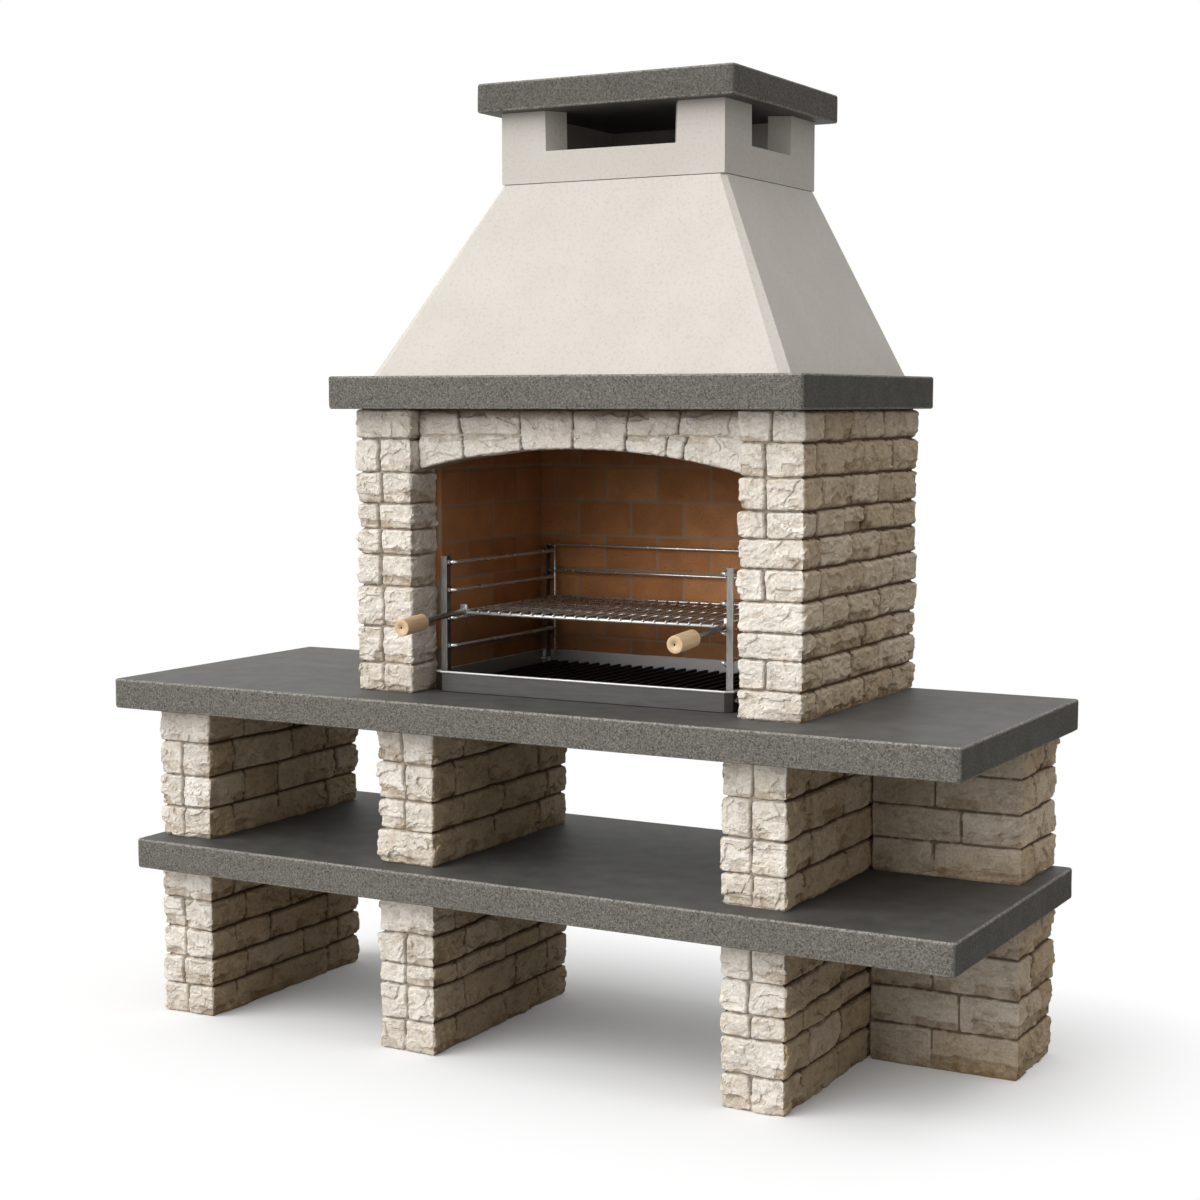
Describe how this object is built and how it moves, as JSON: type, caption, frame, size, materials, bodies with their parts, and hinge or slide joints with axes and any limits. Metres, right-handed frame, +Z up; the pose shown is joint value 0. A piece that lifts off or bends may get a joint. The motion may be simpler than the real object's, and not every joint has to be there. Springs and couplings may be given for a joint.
{
  "type": "masonry barbecue",
  "caption": "Stone masonry barbecue with storage bays under a slab worktop, arched brick-lined firebox, sliding grid and fire basket, tapering hood and capped chimney.",
  "frame": {"origin": "on the floor, under the middle of the whole part's box", "axes": "+Z up, +X to the right seen from the front, -Y towards the cook"},
  "size_m": [2, 0.7991, 2.062],
  "materials": {
    "split_stone": "split face, matt",
    "bed_mortar": "rough, matt",
    "dark_concrete": "cast, smooth top, speckled edges",
    "pale_concrete": "cast, fine sandy, matt",
    "firebrick": "fired clay, matt",
    "refractory_mortar": "rough, matt",
    "tray_steel": "brushed",
    "bright_steel": "bright drawn",
    "grate_iron": "dark, matt",
    "beech": "turned, bare"
  },
  "bodies": {
    "masonry": {"lower_left_leg": "split_stone", "lower_middle_leg": "split_stone", "lower_right_leg": "split_stone", "lower_return_wall": "split_stone", "upper_left_leg": "split_stone", "upper_middle_leg": "split_stone", "upper_right_leg": "split_stone", "upper_return_wall": "split_stone", "firebox_left_wall": "split_stone", "firebox_right_wall": "split_stone", "firebox_back_wall": "split_stone", "arch_lintel": "split_stone", "lower_tier_mortar": "bed_mortar", "upper_tier_mortar": "bed_mortar", "firebox_mortar": "bed_mortar", "shelf_slab": "dark_concrete", "worktop_slab": "dark_concrete", "mantel_slab": "dark_concrete", "chimney_cap": "dark_concrete", "hood": "pale_concrete", "chimney": "pale_concrete", "firebrick_left": "firebrick", "firebrick_right": "firebrick", "firebrick_back": "firebrick", "refractory_mortar": "refractory_mortar"},
    "fire_basket": {"fire_tray": "tray_steel", "front_upright_left": "bright_steel", "front_upright_right": "bright_steel", "rear_upright_left": "bright_steel", "rear_upright_right": "bright_steel", "side_rails_left": "bright_steel", "side_rails_right": "bright_steel", "rear_guard": "bright_steel", "rail_inner_nuts": "bright_steel", "rail_outer_nuts": "bright_steel", "tray_bolts": "bright_steel", "tray_spacers": "bright_steel", "tray_nuts": "bright_steel"},
    "charcoal_grate": {"charcoal_grate": "grate_iron"},
    "cooking_grid": {"grid_cross_rods": "bright_steel", "grid_wires": "bright_steel", "handle_plate_left": "bright_steel", "handle_plate_right": "bright_steel", "handle_rod_left": "bright_steel", "handle_rod_right": "bright_steel", "handle_grip_left": "beech", "handle_grip_right": "beech", "grip_screws": "bright_steel"}
  },
  "joints": [
    {"name": "basket_slide", "type": "slide", "parent": "masonry", "child": "fire_basket", "axis": [0, -1, 0], "range_m": [0, 0.25]},
    {"name": "grid_slide", "type": "slide", "parent": "fire_basket", "child": "cooking_grid", "axis": [0, -1, 0], "range_m": [0, 0.28]},
    {"name": "grate_lift", "type": "slide", "parent": "fire_basket", "child": "charcoal_grate", "axis": [0, 0, 1], "range_m": [0, 0.1]}
  ]
}
